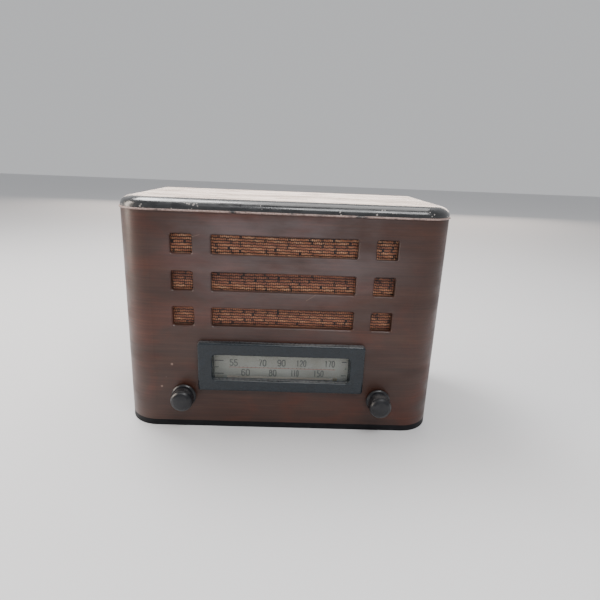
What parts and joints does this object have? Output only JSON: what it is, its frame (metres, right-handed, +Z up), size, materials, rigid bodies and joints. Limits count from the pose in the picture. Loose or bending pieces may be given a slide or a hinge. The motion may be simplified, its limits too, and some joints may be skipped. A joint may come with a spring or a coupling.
{
  "type": "table radio",
  "caption": "Free-standing wooden table radio: wrap-round veneered cabinet with slotted grille, slide-rule dial, round knobs, valve chassis, speaker and vented back.",
  "frame": {"origin": "middle of the radio's footprint, on the surface it stands on, halfway from the knobs' tips to the cabinet's rear edge", "axes": "+X to the right as seen from the front, +Y from the front to the back, +Z up"},
  "size_m": [0.3576, 0.2018, 0.2585],
  "materials": {
    "veneer": "satin lacquer over dark walnut veneer",
    "top_veneer": "satin lacquer over dark walnut veneer, a little worn",
    "black_lacquer": "gloss black lacquer, chipped along the edge",
    "edge_bead": "worn lacquer",
    "plywood": "bare",
    "fibreboard": "matte",
    "grille_cloth": "woven",
    "bakelite_black": "polished, a little dulled",
    "bakelite_brown": "polished, a little dulled",
    "dial_glass": "clear",
    "dial_paper": "matte printed plate",
    "rail_ivory": "aged ivory strip",
    "dial_felt": "soft",
    "pointer_brass": "dull",
    "brass": "turned",
    "cord_fibre": "waxed",
    "lead_cloth": "braided",
    "plated_steel": "dull zinc plate",
    "screw_steel": "zinc plate",
    "shaft_steel": "turned",
    "magnet_steel": "satin",
    "control_metal": "plated",
    "core_iron": "varnished",
    "winding_paper": "varnished",
    "cone_paper": "pressed pulp",
    "cone_felt": "soft",
    "drum_plastic": "moulded",
    "socket_phenolic": "laminate",
    "tube_base": "moulded",
    "tube_glass": "clear, silvered at the top",
    "tube_metal": "carbonised",
    "can_aluminium": "drawn",
    "vane_aluminium": "stamped",
    "coil_former": "waxed",
    "wax_paper": "waxed",
    "resistor_ceramic": "painted",
    "loop_wire": "cotton covered wire",
    "lamp_glass": "clear",
    "black_rubber": "matte"
  },
  "bodies": {
    "cabinet": {"cabinet_shell": "veneer", "base_moulding": "black_lacquer", "bottom_board": "plywood", "top_bead": "edge_bead", "top_moulding": "black_lacquer", "top_panel": "top_veneer", "corner_blocks": "plywood", "back_cleats": "plywood", "grille_cloth": "grille_cloth", "baffle_board": "fibreboard", "speaker_basket": "plated_steel", "speaker_magnet": "magnet_steel", "speaker_surround": "cone_felt", "speaker_screws": "screw_steel", "speaker_leads": "lead_cloth", "dial_bezel": "bakelite_black", "dial_glass": "dial_glass", "dial_gasket": "dial_felt", "dial_scale": "dial_paper", "dial_backplate": "plated_steel", "pointer_rail": "rail_ivory", "dial_cord": "cord_fibre", "dial_lamps": "lamp_glass", "lamp_sockets": "plated_steel", "volume_control": "control_metal", "tuning_bushing": "brass", "panel_nuts": "screw_steel", "chassis": "plated_steel", "chassis_bolts": "screw_steel", "chassis_nuts": "screw_steel", "tube_sockets": "socket_phenolic", "tube_bases": "tube_base", "tube_bulbs": "tube_glass", "tube_plates": "tube_metal", "if_cans": "can_aluminium", "filter_capacitor": "can_aluminium", "output_transformer_core": "core_iron", "output_transformer_winding": "winding_paper", "gang_frame": "plated_steel", "gang_stator": "vane_aluminium", "oscillator_coil": "coil_former", "paper_capacitors": "wax_paper", "resistors": "resistor_ceramic", "back_cover": "fibreboard", "loop_antenna": "loop_wire", "back_screws": "screw_steel", "mains_grommet": "black_rubber"},
    "volume": {"volume_knob": "bakelite_brown", "volume_shaft": "shaft_steel"},
    "tuning": {"tuning_knob": "bakelite_brown", "tuning_shaft": "shaft_steel", "shaft_clips": "screw_steel"},
    "gang": {"gang_rotor": "vane_aluminium", "drive_drum": "drum_plastic"},
    "idler_left": {"pulley_left": "brass"},
    "idler_right": {"pulley_right": "brass"},
    "pointer": {"dial_pointer": "pointer_brass"},
    "cone": {"speaker_cone": "cone_paper", "speaker_dust_cap": "cone_felt"}
  },
  "joints": [
    {"name": "volume_turn", "type": "hinge", "parent": "cabinet", "child": "volume", "pos_m": [-0.109, -0.0841, 0.04], "axis": [0, 1, 0], "range_deg": [0, 300]},
    {"name": "tuning_turn", "type": "hinge", "parent": "cabinet", "child": "tuning", "pos_m": [0.1115, -0.0841, 0.04], "axis": [0, 1, 0], "range_deg": [-1955, 0]},
    {"name": "gang_turn", "type": "hinge", "parent": "cabinet", "child": "gang", "pos_m": [0.062, -0.0501, 0.095], "axis": [0, 1, 0], "range_deg": [-180, 0]},
    {"name": "idler_left_spin", "type": "hinge", "parent": "cabinet", "child": "idler_left", "pos_m": [-0.08, -0.0576, 0.098], "axis": [0, 1, 0], "range_deg": [-1400, 0]},
    {"name": "idler_right_spin", "type": "hinge", "parent": "cabinet", "child": "idler_right", "pos_m": [0.08, -0.0576, 0.098], "axis": [0, 1, 0], "range_deg": [-1400, 0]},
    {"name": "pointer_slide", "type": "slide", "parent": "cabinet", "child": "pointer", "axis": [1, 0, 0], "range_m": [-0.122, 0]},
    {"name": "cone_travel", "type": "slide", "parent": "cabinet", "child": "cone", "axis": [0, 1, 0], "range_m": [-0.001, 0.001], "stiffness_N_per_m": 1500}
  ],
  "couplings": [
    {"joint": "gang_turn", "follows": "tuning_turn", "ratio": 0.092059},
    {"joint": "idler_left_spin", "follows": "tuning_turn", "ratio": 0.715},
    {"joint": "idler_right_spin", "follows": "tuning_turn", "ratio": 0.715},
    {"joint": "pointer_slide", "follows": "tuning_turn", "m_per_rad": 0.003575}
  ]
}
